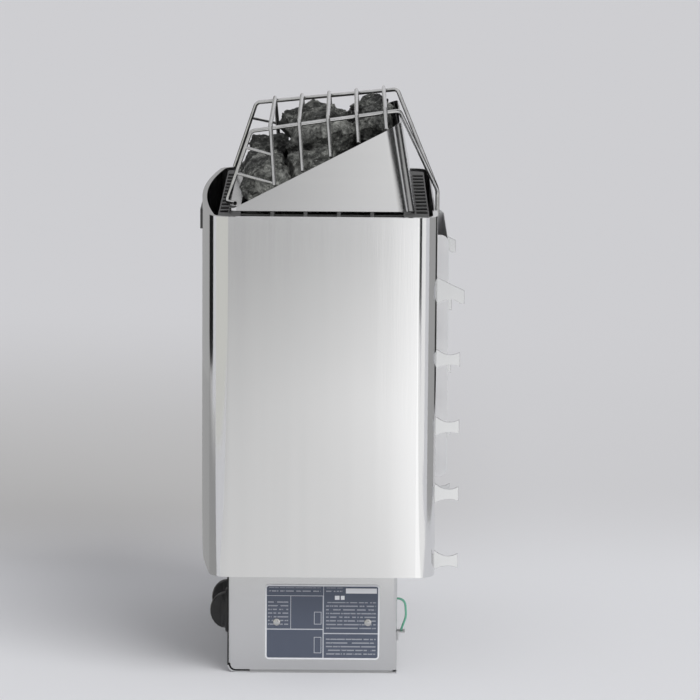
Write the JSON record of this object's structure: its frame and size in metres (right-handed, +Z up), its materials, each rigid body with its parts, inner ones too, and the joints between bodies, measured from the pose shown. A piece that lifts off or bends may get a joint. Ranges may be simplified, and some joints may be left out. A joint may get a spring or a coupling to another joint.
{
  "type": "electric sauna heater",
  "caption": "Wall-hung electric sauna heater: bowed steel casing, leaning stone hood filled with stones, wire stone guard, switch box below with timer and thermostat knobs.",
  "frame": {"origin": "middle of the overall box on the plane of the switch box's underside", "axes": "+Z up, +X towards the wall, -X towards the knobs, Y across the width"},
  "size_m": [0.284, 0.425, 0.6142],
  "materials": {
    "polished_steel": "polished stainless sheet, faintly streaked",
    "sheet_steel": "plain mill-finish sheet",
    "guard_wire": "drawn steel wire",
    "element_tube": "heat-darkened tube",
    "rating_plate_face": "printed plate left without wording",
    "black_plastic": "fine-grained black moulding",
    "pale_plastic": "heat-resistant moulding",
    "green_sheath": "soft green sheath",
    "grey_sheath": "woven grey sheath",
    "copper": "dull copper",
    "stone": "rough broken stone"
  },
  "bodies": {
    "heater": {"outer_casing": "polished_steel", "hanger_rail_right": "sheet_steel", "hanger_rail_left": "sheet_steel", "rear_panel": "sheet_steel", "back_channel": "sheet_steel", "inner_jacket": "sheet_steel", "air_ring": "polished_steel", "stone_container": "sheet_steel", "stone_hood": "polished_steel", "stone_guard": "guard_wire", "stone_grate": "sheet_steel", "chassis_plate": "sheet_steel", "element_plate": "sheet_steel", "heating_element_front": "element_tube", "heating_element_middle": "element_tube", "heating_element_rear": "element_tube", "switch_box": "polished_steel", "front_panel": "polished_steel", "bottom_cover": "sheet_steel", "rating_plate": "rating_plate_face", "plate_screw_front": "polished_steel", "plate_screw_rear": "polished_steel", "timer_body": "pale_plastic", "thermostat_body": "pale_plastic", "thermostat_sensor": "copper", "overheat_limiter": "pale_plastic", "terminal_block": "pale_plastic", "element_lead_1": "grey_sheath", "element_lead_2": "grey_sheath", "element_lead_3": "grey_sheath", "cable_gland": "black_plastic", "earth_lug": "sheet_steel", "earth_wire": "green_sheath", "stone_row_1": "stone", "stone_row_2": "stone", "stone_row_3": "stone", "stone_row_4": "stone", "stone_1": "stone", "stone_2": "stone", "stone_3": "stone", "stone_4": "stone", "stone_5": "stone", "stone_6": "stone", "stone_7": "stone", "stone_8": "stone", "stone_9": "stone", "stone_10": "stone", "stone_11": "stone", "stone_12": "stone", "stone_13": "stone", "stone_14": "stone", "stone_15": "stone", "stone_16": "stone", "stone_17": "stone", "stone_18": "stone"},
    "timer_knob": {"timer_knob": "black_plastic", "timer_shaft": "sheet_steel"},
    "thermostat_knob": {"thermostat_knob": "black_plastic", "thermostat_shaft": "sheet_steel"},
    "reset_button": {"reset_button": "black_plastic"}
  },
  "joints": [
    {"name": "timer_turn", "type": "hinge", "parent": "heater", "child": "timer_knob", "pos_m": [-0.1103, -0.105, 0.059], "axis": [1, 0, 0], "range_deg": [0, 315]},
    {"name": "thermostat_turn", "type": "hinge", "parent": "heater", "child": "thermostat_knob", "pos_m": [-0.1103, -0.043, 0.059], "axis": [1, 0, 0], "range_deg": [0, 300]},
    {"name": "reset_press", "type": "slide", "parent": "heater", "child": "reset_button", "axis": [0, 0, 1], "range_m": [0, 0.0025], "stiffness_N_per_m": 400, "springref_m": -0.0005}
  ]
}
